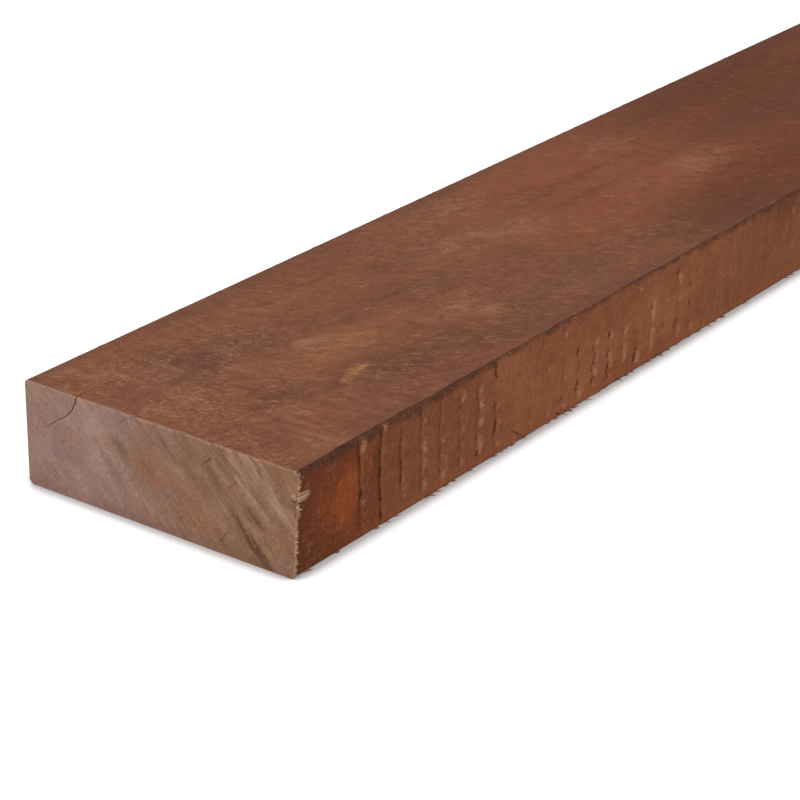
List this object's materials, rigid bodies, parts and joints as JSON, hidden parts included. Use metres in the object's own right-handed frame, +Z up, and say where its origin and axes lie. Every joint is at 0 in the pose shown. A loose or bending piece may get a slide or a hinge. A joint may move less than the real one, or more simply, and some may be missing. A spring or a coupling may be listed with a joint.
{
  "type": "hardwood beam",
  "caption": "Rough-sawn dense hardwood beam of flat rectangular section, with saw-stepped long sides, eased arrises and a drying check in one end.",
  "frame": {"origin": "centre of the lower wide face, on the floor", "axes": "+X along the beam away from the checked end, +Y across it, +Z up through its thickness"},
  "size_m": [2, 0.1499, 0.05],
  "materials": {
    "sawn_hardwood": "rough sawn, bare and matt"
  },
  "bodies": {
    "root": {"beam": "sawn_hardwood"}
  },
  "joints": []
}
